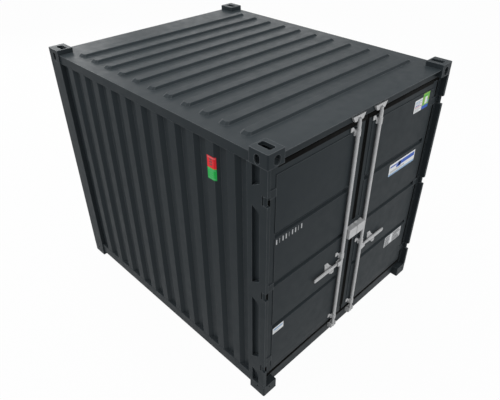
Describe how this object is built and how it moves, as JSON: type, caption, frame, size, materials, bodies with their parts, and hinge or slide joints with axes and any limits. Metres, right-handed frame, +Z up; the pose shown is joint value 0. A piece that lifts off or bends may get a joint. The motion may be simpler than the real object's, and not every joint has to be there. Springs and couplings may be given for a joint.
{
  "type": "shipping container",
  "caption": "Short steel freight container with corrugated walls, ribbed roof, corner castings and twin doors closed by lock rods with lifting handles.",
  "frame": {"origin": "centre of the container's footprint, on the plane that the four bottom castings stand on", "axes": "+X across the container, +Y along it from the door end to the closed end, +Z up"},
  "size_m": [2.438, 2.991, 2.591],
  "materials": {
    "paint": "satin anthracite paint on steel, lightly worn at the edges",
    "gear": "dull galvanised steel",
    "seal": "matt black rubber",
    "floor": "sealed plywood boards"
  },
  "bodies": {
    "container": {"bottom_side_rail_left": "paint", "bottom_side_rail_right": "paint", "casting_front_bottom_left": "paint", "casting_front_bottom_right": "paint", "casting_front_top_left": "paint", "casting_front_top_right": "paint", "casting_rear_bottom_left": "paint", "casting_rear_bottom_right": "paint", "casting_rear_top_left": "paint", "casting_rear_top_right": "paint", "door_header": "paint", "door_sill": "paint", "floor_boards": "floor", "floor_cross_members": "paint", "front_post_left": "paint", "front_post_right": "paint", "hinge_pins": "gear", "rear_bottom_rail": "paint", "rear_post_left": "paint", "rear_post_right": "paint", "rear_top_rail": "paint", "rear_wall": "paint", "rod_keepers": "gear", "roof_panel": "paint", "side_wall_left": "paint", "side_wall_right": "paint", "top_side_rail_left": "paint", "top_side_rail_right": "paint"},
    "door_left": {"door_frame_left": "paint", "door_gasket_left": "seal", "door_hinges_left": "paint", "door_panel_left": "paint", "handle_catch_left": "gear", "lock_box_left": "gear", "rod_brackets_left": "gear"},
    "door_right": {"door_frame_right": "paint", "door_gasket_right": "seal", "door_hinges_right": "paint", "door_panel_right": "paint", "handle_catch_right": "gear", "lock_box_right": "gear", "rod_brackets_right": "gear"},
    "handle_left_lever": {"handle_left": "gear"},
    "handle_right_lever": {"handle_right": "gear"},
    "rod_left_turning": {"lock_rod_left": "gear"},
    "rod_right_turning": {"lock_rod_right": "gear"}
  },
  "joints": [
    {"name": "door_right_hinge", "type": "hinge", "parent": "container", "child": "door_right", "pos_m": [1.2, -1.46, 1.3], "axis": [0, 0, 1], "range_deg": [0, 265]},
    {"name": "rod_right_turn", "type": "hinge", "parent": "door_right", "child": "rod_right_turning", "pos_m": [0.152, -1.4615, 1.3], "axis": [0, 0, 1], "range_deg": [-90, 0]},
    {"name": "handle_right_lift", "type": "hinge", "parent": "rod_right_turning", "child": "handle_right_lever", "pos_m": [0.196, -1.4615, 0.994], "axis": [0, -1, 0], "range_deg": [0, 12]},
    {"name": "door_left_hinge", "type": "hinge", "parent": "container", "child": "door_left", "pos_m": [-1.2, -1.46, 1.3], "axis": [0, 0, -1], "range_deg": [0, 265]},
    {"name": "rod_left_turn", "type": "hinge", "parent": "door_left", "child": "rod_left_turning", "pos_m": [-0.152, -1.4615, 1.3], "axis": [0, 0, -1], "range_deg": [-90, 0]},
    {"name": "handle_left_lift", "type": "hinge", "parent": "rod_left_turning", "child": "handle_left_lever", "pos_m": [-0.196, -1.4615, 0.994], "axis": [0, 1, 0], "range_deg": [0, 12]}
  ]
}
